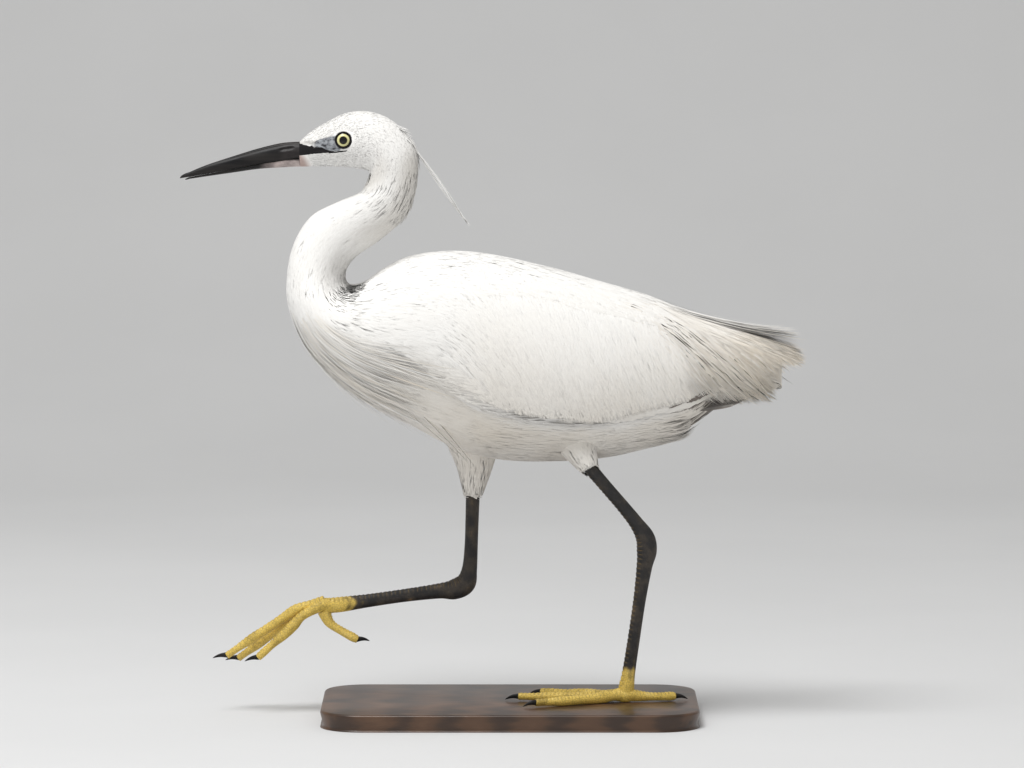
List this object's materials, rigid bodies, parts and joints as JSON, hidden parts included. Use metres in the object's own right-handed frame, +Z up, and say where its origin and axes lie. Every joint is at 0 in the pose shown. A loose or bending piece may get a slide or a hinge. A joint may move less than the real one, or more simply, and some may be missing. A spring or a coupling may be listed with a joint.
{
  "type": "little egret model",
  "caption": "Life-size still model of a walking little egret in white plumage, one foot lifted, with nape, breast and back plumes, on a flat wooden base",
  "frame": {"origin": "centre of the base's underside", "axes": "+X where the bird walks and its bill points, +Y the bird's left, +Z up"},
  "size_m": [0.4408, 0.156, 0.4255],
  "materials": {
    "stand": "dark stained wood, satin",
    "plumage": "white feathers, cream on the plumes, matte",
    "bill": "black horn, slightly glossy",
    "eye": "pale yellow iris, glossy",
    "leg": "black scaly skin with ochre marks",
    "foot": "yellow scaly skin",
    "claw": "dark horn"
  },
  "bodies": {
    "root": {"stand_base": "stand", "head": "plumage", "eye_left": "eye", "eye_right": "eye", "bill_upper": "bill", "bill_lower": "bill", "neck_upper": "plumage", "neck_middle": "plumage", "neck_lower": "plumage", "torso": "plumage", "wing_left": "plumage", "wing_right": "plumage", "tail": "plumage", "thigh_left": "plumage", "shank_left": "leg", "tarsus_left": "leg", "foot_left": "foot", "claw_left_inner": "claw", "claw_left_middle": "claw", "claw_left_outer": "claw", "claw_left_hind": "claw", "thigh_right": "plumage", "shank_right": "leg", "tarsus_right": "leg", "foot_right": "foot", "claw_right_inner": "claw", "claw_right_middle": "claw", "claw_right_outer": "claw", "claw_right_hind": "claw"}
  },
  "joints": []
}
